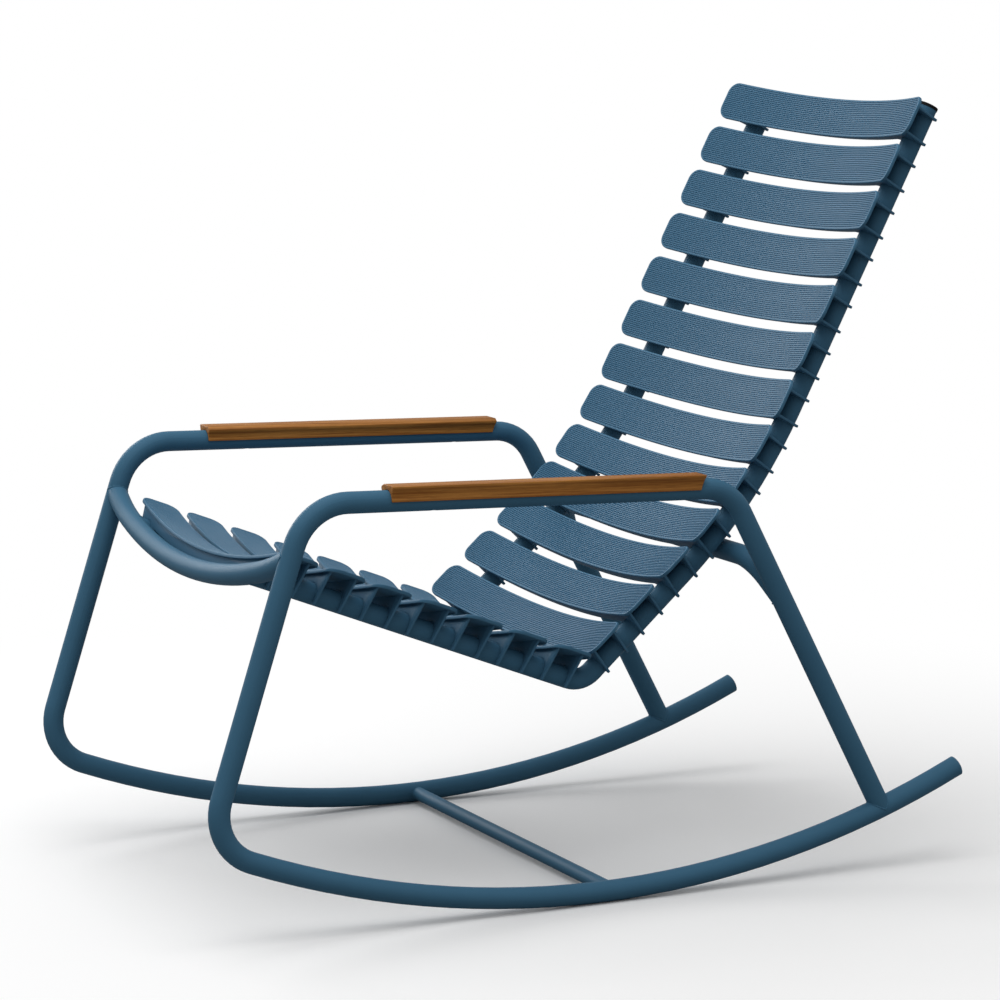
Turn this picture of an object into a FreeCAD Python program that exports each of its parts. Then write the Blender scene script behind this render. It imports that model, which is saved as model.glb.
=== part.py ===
import FreeCAD, Part
import math
import os
import Sketcher
from FreeCAD import Placement, Rotation, Vector

# Rocking lounge chair: two bent side frames, tied by three cross tubes, carry two
# bent seat rails with moulded slats clipped on to them, and a wooden pad on each arm.
# Frame of the part: +Z up, front towards -Y, the sitter's left at +X. The origin is on
# the floor, midway between the runners, under the centre of the runners' arc.

doc = FreeCAD.newDocument("rocking_lounge_chair")

# Driving dimensions, in millimetres and degrees
SIZES = (
    ("tube_diameter", 26.9, "outside of every bent steel tube"),
    ("tube_wall", 1.5, "wall of every bent steel tube"),
    ("frame_spacing", 600, "between the two side frames' centre planes"),
    ("rocker_radius", 1287, "runner's centreline"),
    ("rocker_front_angle", 24.1, "from the lowest point to the sharp front corner"),
    ("rocker_rear_angle", 23.8, "from the lowest point to the rear tip"),
    ("rear_leg_angle", 18.45, "from the lowest point to the rear leg's foot"),
    ("front_top_y", -395.4, "sharp corner of front leg and arm"),
    ("front_top_z", 530.8, "sharp corner of front leg and arm"),
    ("rear_top_y", 179.0, "sharp corner of arm and rear leg"),
    ("rear_top_z", 513.5, "sharp corner of arm and rear leg"),
    ("front_bottom_bend", 64, "centreline radius, runner to front leg"),
    ("front_top_bend", 71, "centreline radius, front leg to arm"),
    ("rear_top_bend", 62, "centreline radius, arm to rear leg"),
    ("weld_gap", 0.3, "left for the weld where a tube's end meets another tube"),
    ("front_tube_low", 302.4, "up the front leg's line, from its lower sharp corner"),
    ("front_tube_middle", 224.4, "half length of the front tube's shallow middle arc"),
    ("front_tube_bow", 27.4, "hang of the front tube's shallow middle arc"),
    ("front_tube_bend", 371.4, "centreline radius of the front tube's ends"),
    ("rear_tube_rise", 379.9, "up the rear leg's line, from its foot"),
    ("rear_tube_bend", 58.4, "centreline radius at both ends of the rear tube"),
    ("rear_tube_straight", 470.4, "straight middle of the rear tube"),
    ("rear_tube_turn", 61.5, "angle of each end bend"),
    ("rear_tube_tail", 30, "straight run from the bend into the leg"),
    ("stretcher_diameter", 18, "thinner tube between the runners"),
    ("stretcher_wall", 1.5, "wall of the thinner tube"),
    ("stretcher_angle", 0.75, "from the lowest point of the runners, rearwards"),
    ("rail_spacing", 407.4, "between the two seat rails' centrelines"),
    ("seat_front_y", -391.4, "rail's centreline under the first seat slat"),
    ("seat_front_z", 420.6, "rail's centreline under the first seat slat"),
    ("seat_slope", 21.18, "seat falls towards the back"),
    ("seat_slat_count", 7, "slats on the seat"),
    ("seat_pitch", 66.4, "between seat slats, along the rail"),
    ("bend_lead", 42.7, "from the last seat slat to the rail's sharp corner"),
    ("seat_bend", 33, "rail's centreline radius between seat and back"),
    ("lower_back_slope", 41.9, "lower back, above the horizontal"),
    ("back_lead", 53.4, "from the rail's sharp corner to the first back slat"),
    ("lower_back_run", 139.7, "straight rail above the first back slat"),
    ("lumbar_radius", 720.2, "rail's centreline, lower to upper back"),
    ("upper_back_slope", 62.5, "upper back, above the horizontal"),
    ("back_slat_count", 13, "slats on the back"),
    ("back_pitch", 66.9, "between back slats, along the rail"),
    ("rail_end_lead", 26.7, "from the last slat's middle to the rail's top end"),
    ("slat_length", 495.5, "across the chair"),
    ("slat_width", 54, "along the rails"),
    ("slat_radius", 945, "hollow of the slat's upper face"),
    ("slat_height", 7.1, "slat's upper face above the rails' centrelines, mid-chair"),
    ("slat_skin", 2.4, "wall of the slat's moulding"),
    ("slat_edge", 4.4, "depth of the slat's edge"),
    ("slat_corner", 16.3, "radius of the slat's corners"),
    ("front_rib", 20.5, "front rib's middle ahead of the slat's middle"),
    ("rear_rib", 15, "rear rib's middle behind the slat's middle"),
    ("rib_thickness", 3, "each rib and clip"),
    ("rib_depth", 19, "from the slat's upper face"),
    ("rib_inset", 12, "rib's end short of the slat's end"),
    ("clip_clearance", 0.3, "between a clip and its rail"),
    ("clip_arm", 4, "width of a clip's arm beside the rail"),
    ("clip_reach", 12.2, "clip's arm, from the rail's centre to its tip"),
    ("clip_wrap", 35, "clip's hold below the rail's widest line"),
    ("clip_fillet", 10, "hollow between rib and clip's inner arm"),
    ("pad_length", 428, "wooden arm pad, along its upper face"),
    ("pad_start", 104.5, "from the arm's front sharp corner to the pad"),
    ("pad_slant", 6.5, "pad's rear end leans in, over its height"),
    ("pad_half_width", 17.5, "middle to either lip"),
    ("pad_flat", 10.5, "middle to the sloping inner margin of the upper face"),
    ("pad_rise", 19.6, "pad's upper face above the arm's centreline"),
    ("pad_inner_lip", 16.4, "inner lip's upper edge above the arm's centreline"),
    ("pad_lip", 2.8, "thickness of the lips' edges"),
    ("pad_waist", 15.3, "middle to the hollow sides"),
    ("pad_waist_rise", 7.5, "narrowest line above the arm's centreline"),
    ("pad_foot", 16.3, "middle to the lower edges"),
    ("pad_foot_rise", 0.5, "lower edges above the arm's centreline"),
    ("pad_clearance", 0.3, "between the pad's groove and the arm"),
    ("screw_inset", 60, "arm screws from the pad's ends"),
    ("screw_diameter", 4.8, "arm screw's shank"),
    ("screw_head", 9, "arm screw's head, diameter"),
    ("screw_head_height", 2.6, "arm screw's domed head, inside the arm"),
    ("screw_grip", 3.6, "arm screw's tip above the pad's groove"),
    ("screw_play", 0.3, "round the screw in its holes"),
    ("cap_rim", 2.5, "rim of a tube's end cap, outside the tube"),
    ("cap_dome", 3.5, "crown of a tube's end cap, above its rim"),
    ("cap_spigot", 16, "stem of a cap or plug inside its tube"),
    ("cap_play", 0.15, "round the stem of a cap or plug"),
    ("plug_rim", 3.8, "flat rim of a rail's plug, outside the rail"),
    ("plug_dome", 0.3, "crown of a rail's plug, above its rim"),
    ("plug_flange", 0.5, "plug's rim stands out past the rail"),
)

sheet = doc.addObject("Spreadsheet::Sheet", "Sizes")
for row, (alias, value, note) in enumerate(SIZES, start=1):
    sheet.set("A%d" % row, alias)
    sheet.set("B%d" % row, str(value))
    sheet.setAlias("B%d" % row, alias)
    sheet.set("C%d" % row, note)
doc.recompute()


def size(alias):
    """A driving dimension as a number."""
    return float(sheet.get(alias))


def bind(thing, prop, formula):
    """Ties a property to cells of the sheet; $name stands for a cell."""
    thing.setExpression(prop, formula.replace("$", "Sizes."))


def direction(degrees):
    """Unit vector in a path's plane, counter-clockwise from its first axis."""
    angle = math.radians(degrees)
    return Vector(math.cos(angle), math.sin(angle), 0)


def origin_plane(body, role):
    """One of a body's own origin planes."""
    return next(f for f in body.Origin.OriginFeatures if f.Role == role)


def new_body(label, placement=Placement()):
    """An empty sub-part at its place."""
    body = doc.addObject("PartDesign::Body", label)
    body.Label = label
    body.Placement = placement
    return body


def new_sketch(body, name, role, shift=Vector(), rotation=Rotation()):
    """A sketch on one of the body's origin planes, moved within that plane's frame."""
    sketch = body.newObject("Sketcher::SketchObject", name)
    sketch.AttachmentSupport = [(origin_plane(body, role), "")]
    sketch.MapMode = "FlatFace"
    sketch.AttachmentOffset = Placement(shift, rotation)
    return sketch


def arc_about(centre, start, end, clockwise=False):
    """Circular arc from start to end round a centre in the sketch's plane."""
    radius = (start - centre).Length
    first = math.atan2(start.y - centre.y, start.x - centre.x)
    last = math.atan2(end.y - centre.y, end.x - centre.x)
    if clockwise:
        first, last = last, first
    if last < first:
        last += 2 * math.pi
    return Part.ArcOfCircle(Part.Circle(centre, Vector(0, 0, 1), radius), first, last)


def corner(before, sharp, after, radius):
    """Fillet at a sharp corner between two lines: its centre and its two ends."""
    back = (before - sharp).normalize()
    ahead = (after - sharp).normalize()
    half = back.getAngle(ahead) / 2
    middle = (back + ahead).normalize()
    reach = radius / math.tan(half)
    return sharp + middle * (radius / math.sin(half)), sharp + back * reach, sharp + ahead * reach


def crossing(point, along, other, other_along):
    """Where two lines in the sketch's plane cross."""
    turn = along.x * other_along.y - along.y * other_along.x
    gap = other - point
    return point + along * ((gap.x * other_along.y - gap.y * other_along.x) / turn)


def pipe(body, kind, name, path, start, heading, radius_formula):
    """A round bar swept along a sketched path; kind is Additive or Subtractive."""
    profile = body.newObject("Sketcher::SketchObject", name + "Section")
    profile.Placement = path.Placement * Placement(start, Rotation(Vector(0, 0, 1), heading))
    profile.addGeometry(Part.Circle(Vector(), Vector(0, 0, 1), size("tube_diameter") / 2))
    profile.addConstraint(Sketcher.Constraint("Coincident", 0, 3, -1, 1))
    profile.addConstraint(Sketcher.Constraint("Radius", 0, size("tube_diameter") / 2))
    bind(profile, "Constraints[1]", radius_formula)
    feature = body.newObject("PartDesign::%sPipe" % kind, name)
    feature.Profile = profile
    feature.Spine = (path, ["Edge%d" % (n + 1) for n in range(path.GeometryCount)])
    return feature


def tube(body, name, role, edges, start, heading):
    """A tube of the common diameter and wall along connected edges in one plane."""
    path = new_sketch(body, name + "Path", role)
    path.addGeometry(edges)
    doc.recompute()
    pipe(body, "Additive", name, path, start, heading, "$tube_diameter / 2")
    doc.recompute()
    return path


def bore(body, name, path, start, heading):
    """The hollow of a tube along its path."""
    pipe(body, "Subtractive", name, path, start, heading, "$tube_diameter / 2 - $tube_wall")
    doc.recompute()


def cut_cylinder(body, name, centre, along, reach, radius_formula):
    """Takes a cylinder out of a body: a cope, a hole or a groove."""
    cutter = body.newObject("PartDesign::SubtractiveCylinder", name)
    cutter.Height = 2 * reach
    cutter.Placement = Placement(centre - along * reach, Rotation(Vector(0, 0, 1), along))
    bind(cutter, "Radius", radius_formula)
    doc.recompute()
    return cutter


# How near, in millimetres, an edge lies to the plane or line that it is picked by
ON_FACE = 0.01

# Side frame: its centreline in the frame's own plane, x rearwards and y up
TUBE_RADIUS = size("tube_diameter") / 2
ROCKER_CENTRE = Vector(0, size("rocker_radius") + TUBE_RADIUS, 0)


def on_rocker(degrees):
    """Point of the runner's centreline, at an angle rearwards from its lowest point."""
    return ROCKER_CENTRE + direction(degrees - 90) * size("rocker_radius")


FRONT_FOOT = on_rocker(-size("rocker_front_angle"))
FRONT_TOP = Vector(size("front_top_y"), size("front_top_z"), 0)
REAR_TOP = Vector(size("rear_top_y"), size("rear_top_z"), 0)
REAR_FOOT = on_rocker(size("rear_leg_angle"))
REAR_TIP = on_rocker(size("rocker_rear_angle"))
FRONT_LEG = (FRONT_TOP - FRONT_FOOT).normalize()
REAR_LEG = (REAR_TOP - REAR_FOOT).normalize()
ARM = (REAR_TOP - FRONT_TOP).normalize()


def front_bottom_corner():
    """Fillet between the runner's arc and the front leg: its centre and its two ends."""
    radius = size("front_bottom_bend")
    inward = Vector(FRONT_LEG.y, -FRONT_LEG.x, 0)
    offset = FRONT_FOOT + inward * radius - ROCKER_CENTRE
    along = offset.dot(FRONT_LEG)
    reach = size("rocker_radius") - radius
    rise = -along - math.sqrt(along ** 2 - offset.Length ** 2 + reach ** 2)
    centre = FRONT_FOOT + FRONT_LEG * rise + inward * radius
    on_arc = ROCKER_CENTRE + (centre - ROCKER_CENTRE).normalize() * size("rocker_radius")
    return centre, on_arc, centre - inward * radius


def side_frame(label, side):
    """Runner, front leg, arm and rear leg, bent from one tube and welded into a loop."""
    body = new_body(label, Placement(Vector(side * size("frame_spacing") / 2, 0, 0), Rotation()))
    low, low_start, low_end = front_bottom_corner()
    high, high_start, high_end = corner(FRONT_FOOT, FRONT_TOP, REAR_TOP, size("front_top_bend"))
    rear, rear_start, rear_end = corner(FRONT_TOP, REAR_TOP, REAR_FOOT, size("rear_top_bend"))
    edges = [
        arc_about(ROCKER_CENTRE, REAR_TIP, low_start, clockwise=True),
        arc_about(low, low_start, low_end, clockwise=True),
        Part.LineSegment(low_end, high_start),
        arc_about(high, high_start, high_end, clockwise=True),
        Part.LineSegment(high_end, rear_start),
        arc_about(rear, rear_start, rear_end, clockwise=True),
    ]
    leg_end = REAR_FOOT + REAR_LEG * TUBE_RADIUS
    heading = direction(size("rocker_rear_angle") + 180)
    loop = tube(body, "Loop", "YZ_Plane", edges, REAR_TIP, heading)
    tube(body, "RearLeg", "YZ_Plane", [Part.LineSegment(rear_end, REAR_FOOT)], rear_end, -REAR_LEG)
    bore(body, "LoopBore", loop, REAR_TIP, heading)
    leg_bore = new_sketch(body, "RearLegBorePath", "YZ_Plane")
    leg_bore.addGeometry(Part.LineSegment(rear_end, leg_end))
    doc.recompute()
    bore(body, "RearLegBore", leg_bore, rear_end, -REAR_LEG)
    for number, place in enumerate(screw_places(), start=1):
        for hole, level, formula in (
            ("ScrewHole", TUBE_RADIUS, "$screw_diameter / 2 + $screw_play"),
            ("AccessHole", -TUBE_RADIUS, "$screw_head / 2 + $screw_play"),
        ):
            cut_cylinder(body, "%s%d" % (hole, number), chair_point(0, place + arm_up() * level),
                         chair_vector(arm_up()), TUBE_RADIUS, formula)
    return body


def chair_point(x, place):
    """A point of a side view at a distance across the chair."""
    return Vector(x, place.x, place.y)


def chair_vector(heading):
    """A direction of a side view in the chair's frame."""
    return Vector(0, heading.x, heading.y)


def arm_up():
    """Square to the arm, upwards, in the side view."""
    return Vector(-ARM.y, ARM.x, 0)


def screw_places():
    """Where the arm screws cross the arm's centreline, in the side view."""
    first = size("pad_start") + size("screw_inset")
    last = size("pad_start") + size("pad_length") - size("screw_inset")
    return [FRONT_TOP + ARM * first, FRONT_TOP + ARM * last]


def leg_plane(foot, leg):
    """Placement whose first axis crosses the chair and whose second runs up a leg."""
    tilt = math.degrees(math.atan2(leg.y, leg.x))
    return Placement(chair_point(0, foot), Rotation(Vector(1, 0, 0), tilt))


def front_tube_arcs():
    """The front tube's half in its own plane: arc centres, and where they meet and end."""
    half = size("frame_spacing") / 2
    middle = size("front_tube_middle")
    bow = size("front_tube_bow")
    radius = (middle ** 2 + bow ** 2) / (2 * bow)
    low = size("front_tube_low")
    centre = Vector(0, low + radius, 0)
    joint = Vector(middle, low + bow, 0)
    bend = size("front_tube_bend")
    bend_centre = joint + (centre - joint).normalize() * bend
    climb = math.sqrt(bend ** 2 - (half - bend_centre.x) ** 2)
    return centre, joint, bend_centre, Vector(half, bend_centre.y - climb, 0)


def front_cross_tube():
    """Tube that hangs between the front legs and carries the rails' front ends."""
    body = new_body("front_cross_tube", leg_plane(FRONT_FOOT, FRONT_LEG))
    centre, joint, bend_centre, end = front_tube_arcs()
    far_joint, far_centre, far_end = [Vector(-p.x, p.y, 0) for p in (joint, bend_centre, end)]
    edges = [
        arc_about(far_centre, far_end, far_joint),
        arc_about(centre, far_joint, joint),
        arc_about(bend_centre, joint, end),
    ]
    spoke = (far_centre - far_end).normalize()
    heading = Vector(spoke.y, -spoke.x, 0)
    path = tube(body, "Bow", "XY_Plane", edges, far_end, heading)
    bore(body, "BowBore", path, far_end, heading)
    for side in (-1, 1):
        cut_cylinder(body, "LegCope%d" % (side + 2), Vector(side * end.x, end.y, 0),
                     Vector(0, 1, 0), end.x, "$tube_diameter / 2 + $weld_gap")
    return body


def rear_cross_tube():
    """Tube across the rear legs, behind the rails, with both ends bent down to the legs."""
    body = new_body("rear_cross_tube", leg_plane(REAR_FOOT, REAR_LEG))
    height = size("rear_tube_rise")
    half = size("rear_tube_straight") / 2
    radius = size("rear_tube_bend")
    turn = size("rear_tube_turn")
    points = {}
    for side in (-1, 1):
        bend_centre = Vector(side * half, height - radius, 0)
        bend_end = bend_centre + Vector(side * math.sin(math.radians(turn)),
                                        math.cos(math.radians(turn)), 0) * radius
        down = Vector(side * math.cos(math.radians(turn)), -math.sin(math.radians(turn)), 0)
        points[side] = (bend_centre, Vector(side * half, height, 0), bend_end,
                        bend_end + down * size("rear_tube_tail"))
    left_centre, left_straight, left_bend, left_end = points[-1]
    right_centre, right_straight, right_bend, right_end = points[1]
    edges = [
        Part.LineSegment(left_end, left_bend),
        arc_about(left_centre, left_bend, left_straight, clockwise=True),
        Part.LineSegment(left_straight, right_straight),
        arc_about(right_centre, right_straight, right_bend, clockwise=True),
        Part.LineSegment(right_bend, right_end),
    ]
    heading = (left_bend - left_end).normalize()
    path = tube(body, "Staple", "XY_Plane", edges, left_end, heading)
    bore(body, "StapleBore", path, left_end, heading)
    for side in (-1, 1):
        cut_cylinder(body, "LegCope%d" % (side + 2),
                     Vector(side * size("frame_spacing") / 2, height, 0), Vector(0, 1, 0),
                     size("frame_spacing") / 2, "$tube_diameter / 2 + $weld_gap")
    return body


def rocker_stretcher():
    """Straight, thinner tube between the runners, near their lowest point."""
    angle = size("stretcher_angle")
    half = size("frame_spacing") / 2
    body = new_body("rocker_stretcher", Placement(chair_point(0, on_rocker(angle)), Rotation()))
    for name, formula, kind in (
        ("Bar", "$stretcher_diameter / 2", "Pad"),
        ("BarBore", "$stretcher_diameter / 2 - $stretcher_wall", "Pocket"),
    ):
        sketch = new_sketch(body, name + "Section", "YZ_Plane")
        sketch.addGeometry(Part.Circle(Vector(), Vector(0, 0, 1), size("stretcher_diameter") / 2))
        sketch.addConstraint(Sketcher.Constraint("Coincident", 0, 3, -1, 1))
        sketch.addConstraint(Sketcher.Constraint("Radius", 0, size("stretcher_diameter") / 2))
        bind(sketch, "Constraints[1]", formula)
        feature = body.newObject("PartDesign::" + kind, name)
        feature.Profile = sketch
        feature.Midplane = True
        bind(feature, "Length", "$frame_spacing")
        doc.recompute()
    along = chair_vector(direction(angle))
    for side in (-1, 1):
        cut_cylinder(body, "RunnerCope%d" % (side + 2), Vector(side * half, 0, 0), along,
                     half, "$tube_diameter / 2 + $weld_gap")
    return body


# Seat rail: its centreline in the side view
SEAT_SLOPE = -size("seat_slope")
SEAT_FRONT = Vector(size("seat_front_y"), size("seat_front_z"), 0)
LAST_SEAT_SLAT = SEAT_FRONT + direction(SEAT_SLOPE) * size("seat_pitch") * (size("seat_slat_count") - 1)
RAIL_CORNER = LAST_SEAT_SLAT + direction(SEAT_SLOPE) * size("bend_lead")
LOWER_SLOPE = size("lower_back_slope")
UPPER_SLOPE = size("upper_back_slope")
FIRST_BACK_SLAT = RAIL_CORNER + direction(LOWER_SLOPE) * size("back_lead")
LUMBAR_START = FIRST_BACK_SLAT + direction(LOWER_SLOPE) * size("lower_back_run")
LUMBAR_CENTRE = LUMBAR_START + direction(LOWER_SLOPE + 90) * size("lumbar_radius")
LUMBAR_END = LUMBAR_CENTRE + direction(UPPER_SLOPE - 90) * size("lumbar_radius")
LUMBAR_RUN = math.radians(UPPER_SLOPE - LOWER_SLOPE) * size("lumbar_radius")


def on_back(run):
    """Point and slope of the rail's centreline, at a run along it above the first back slat."""
    past = run - size("lower_back_run")
    if past <= 0:
        return FIRST_BACK_SLAT + direction(LOWER_SLOPE) * run, LOWER_SLOPE
    if past >= LUMBAR_RUN:
        return LUMBAR_END + direction(UPPER_SLOPE) * (past - LUMBAR_RUN), UPPER_SLOPE
    slope = LOWER_SLOPE + math.degrees(past / size("lumbar_radius"))
    return LUMBAR_CENTRE + direction(slope - 90) * size("lumbar_radius"), slope


BACK_RUN = size("back_pitch") * (size("back_slat_count") - 1)
RAIL_TOP, RAIL_TOP_SLOPE = on_back(BACK_RUN + size("rail_end_lead"))


def front_tube_under_rail():
    """Where the front tube's centreline crosses a rail's plane, and its climb there."""
    across = size("rail_spacing") / 2
    centre, joint, bend_centre, end = front_tube_arcs()
    radius = (joint - centre).Length
    height = centre.y - math.sqrt(radius ** 2 - across ** 2)
    return FRONT_FOOT + FRONT_LEG * height, across / radius


def seat_rail(label, side):
    """Rail from the front tube, down the seat, round its bend and up the back."""
    body = new_body(label, Placement(Vector(side * size("rail_spacing") / 2, 0, 0), Rotation()))
    tube_place, climb = front_tube_under_rail()
    start = crossing(SEAT_FRONT, direction(SEAT_SLOPE), tube_place, FRONT_LEG)
    bend, bend_start, bend_end = corner(SEAT_FRONT, RAIL_CORNER, FIRST_BACK_SLAT, size("seat_bend"))
    edges = [
        Part.LineSegment(start, bend_start),
        arc_about(bend, bend_start, bend_end),
        Part.LineSegment(bend_end, LUMBAR_START),
        arc_about(LUMBAR_CENTRE, LUMBAR_START, LUMBAR_END),
        Part.LineSegment(LUMBAR_END, RAIL_TOP),
    ]
    heading = direction(SEAT_SLOPE)
    path = tube(body, "Rail", "YZ_Plane", edges, start, heading)
    bore(body, "RailBore", path, start, heading)
    level = math.sqrt(1 - climb ** 2)
    along = Vector(side * level, FRONT_LEG.x * climb, FRONT_LEG.y * climb)
    cut_cylinder(body, "FrontTubeCope", chair_point(0, tube_place), along,
                 size("tube_diameter") * 2, "$tube_diameter / 2 + $weld_gap")
    return body


# Slat: its own frame has x across the chair, y up the rail and z square to the rail,
# with its origin between the two rails' centrelines
def slat_face(depth, x):
    """Height of the slat's curved face at a depth under its upper face."""
    radius = size("slat_radius") + depth
    return size("slat_height") + size("slat_radius") - math.sqrt(radius ** 2 - x ** 2)


def slat_arc(depth, first, last):
    """Arc across the slat at a depth under its upper face."""
    centre = Vector(0, size("slat_height") + size("slat_radius"), 0)
    ends = [Vector(x, slat_face(depth, x), 0) for x in sorted((first, last))]
    return arc_about(centre, ends[0], ends[1])


def rib_outline():
    """Rib with its two clips, seen along the rails, from the middle line outwards and back."""
    rail = size("rail_spacing") / 2
    hold = TUBE_RADIUS + size("clip_clearance")
    arm = TUBE_RADIUS + size("clip_arm")
    low = -size("clip_reach")
    end = size("slat_length") / 2 - size("rib_inset")
    wrap = math.radians(size("clip_wrap"))
    hold_x = hold * math.cos(wrap)
    hold_z = -hold * math.sin(wrap)
    fillet = size("clip_fillet")
    rib_radius = size("slat_radius") + size("rib_depth")
    rib_centre_z = size("slat_height") + size("slat_radius")
    fillet_x = rail - arm - fillet
    fillet_z = rib_centre_z - math.sqrt((rib_radius + fillet) ** 2 - fillet_x ** 2)
    outward = (Vector(fillet_x, fillet_z, 0) - Vector(0, rib_centre_z, 0)).normalize()
    rib_turn = Vector(0, rib_centre_z, 0) + outward * rib_radius
    edges = []
    for side in (-1, 1):
        points = [
            (rail - arm, fillet_z), (rail - arm, low), (rail - hold_x, low), (rail - hold_x, hold_z),
            (rail + hold_x, hold_z), (rail + hold_x, low), (rail + arm, low),
            (end, slat_face(size("slat_edge"), end)), (end, slat_face(size("slat_skin") / 2, end)),
        ]
        inner, tip, tip_in, grip, far_grip, far_tip_in, far_tip, gusset, top = [
            Vector(side * x, z, 0) for x, z in points
        ]
        turn_end = Vector(side * rib_turn.x, rib_turn.y, 0)
        fillet_centre = Vector(side * fillet_x, fillet_z, 0)
        edges += [
            arc_about(fillet_centre, turn_end, inner, clockwise=side > 0),
            Part.LineSegment(inner, tip),
            Part.LineSegment(tip, tip_in),
            Part.LineSegment(tip_in, grip),
            arc_about(Vector(side * rail, 0, 0), grip, far_grip, clockwise=side > 0),
            Part.LineSegment(far_grip, far_tip_in),
            Part.LineSegment(far_tip_in, far_tip),
            Part.LineSegment(far_tip, gusset),
            Part.LineSegment(gusset, top),
        ]
    edges.append(slat_arc(size("rib_depth"), -rib_turn.x, rib_turn.x))
    edges.append(slat_arc(size("slat_skin") / 2, -end, end))
    return edges


def slat(label, placement):
    """Moulded slat: hollow-faced skin with turned-down edges, two ribs and four clips."""
    body = new_body(label, placement)
    half = size("slat_length") / 2
    outline = new_sketch(body, "SkinSection", "XZ_Plane")
    edge = size("slat_edge")
    corners = [Vector(x, slat_face(depth, x), 0) for x in (-half, half) for depth in (0, edge)]
    outline.addGeometry([
        slat_arc(0, -half, half),
        slat_arc(edge, -half, half),
        Part.LineSegment(corners[0], corners[1]),
        Part.LineSegment(corners[2], corners[3]),
    ])
    skin = body.newObject("PartDesign::Pad", "Skin")
    skin.Profile = outline
    skin.Midplane = True
    bind(skin, "Length", "$slat_width")
    doc.recompute()
    upright = [
        "Edge%d" % (n + 1) for n, e in enumerate(skin.Shape.Edges)
        if e.BoundBox.YLength < ON_FACE and e.BoundBox.XLength < ON_FACE
    ]
    rounding = body.newObject("PartDesign::Fillet", "Corners")
    rounding.Base = (skin, upright)
    bind(rounding, "Radius", "$slat_corner")
    doc.recompute()
    under = max(
        range(len(rounding.Shape.Faces)),
        key=lambda n: (rounding.Shape.Faces[n].Area > size("slat_length"),
                       -rounding.Shape.Faces[n].CenterOfMass.z),
    )
    shell = body.newObject("PartDesign::Thickness", "Hollow")
    shell.Base = (rounding, ["Face%d" % (under + 1)])
    shell.Reversed = True
    bind(shell, "Value", "$slat_skin")
    doc.recompute()
    for name, ahead in (("FrontRib", size("front_rib")), ("RearRib", -size("rear_rib"))):
        rib_sketch = new_sketch(body, name + "Outline", "XZ_Plane",
                                Vector(0, 0, ahead - size("rib_thickness") / 2))
        rib_sketch.addGeometry(rib_outline())
        rib = body.newObject("PartDesign::Pad", name)
        rib.Profile = rib_sketch
        bind(rib, "Length", "$rib_thickness")
        doc.recompute()
    return body


def slat_placement(place, slope):
    """Stands a slat square on the rails at a point of their side view."""
    return Placement(chair_point(0, place), Rotation(Vector(1, 0, 0), slope))


def arm_pad(label, side):
    """Wooden pad: lipped upper face over hollow sides, astride the upper half of the arm."""
    middle = FRONT_TOP + ARM * (size("pad_start") + size("pad_length") / 2)
    tilt = math.degrees(math.atan2(ARM.y, ARM.x))
    place = chair_point(side * size("frame_spacing") / 2, middle)
    body = new_body(label, Placement(place, Rotation(Vector(1, 0, 0), tilt)))
    wide = size("pad_half_width")
    top = size("pad_rise")
    inner = size("pad_inner_lip")
    foot = Vector(size("pad_foot"), size("pad_foot_rise"), 0)
    waist = Vector(size("pad_waist"), size("pad_waist_rise"), 0)
    outline = [
        Vector(wide, top - size("pad_lip"), 0),
        Vector(wide, top, 0),
        Vector(-size("pad_flat"), top, 0),
        Vector(-wide, inner, 0),
        Vector(-wide, inner - size("pad_lip"), 0),
    ]
    outline = [Vector(side * p.x, p.y, 0) for p in outline]
    section = new_sketch(body, "PadSection", "XZ_Plane")
    section.addGeometry([Part.LineSegment(a, b) for a, b in zip(outline, outline[1:])])
    feet = [Vector(side * foot.x, foot.y, 0), Vector(-side * foot.x, foot.y, 0)]
    waists = [Vector(side * waist.x, waist.y, 0), Vector(-side * waist.x, waist.y, 0)]
    section.addGeometry([
        Part.Arc(outline[0], waists[0], feet[0]),
        Part.LineSegment(feet[0], feet[1]),
        Part.Arc(feet[1], waists[1], outline[-1]),
    ])
    block = body.newObject("PartDesign::Pad", "Block")
    block.Profile = section
    block.Midplane = True
    bind(block, "Length", "$pad_length")
    doc.recompute()
    end = size("pad_length") / 2
    lean = new_sketch(body, "RearLean", "YZ_Plane")
    corners = [Vector(end, top, 0), Vector(end, foot.y, 0), Vector(end - size("pad_slant"), foot.y, 0)]
    lean.addGeometry([Part.LineSegment(a, b) for a, b in zip(corners, corners[1:] + corners[:1])])
    rear = body.newObject("PartDesign::Pocket", "RearEnd")
    rear.Profile = lean
    rear.Midplane = True
    rear.Length = 4 * wide
    doc.recompute()
    cut_cylinder(body, "ArmGroove", Vector(), Vector(0, 1, 0), size("pad_length"),
                 "$tube_diameter / 2 + $pad_clearance")
    reach = TUBE_RADIUS + size("pad_clearance") + size("screw_grip") + size("screw_play")
    for number, place in enumerate(screw_places(), start=1):
        along = (place - middle).dot(ARM)
        cut_cylinder(body, "ScrewHole%d" % number, Vector(0, along, 0), Vector(0, 0, 1),
                     reach, "$screw_diameter / 2 + $screw_play")
    return body


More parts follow.
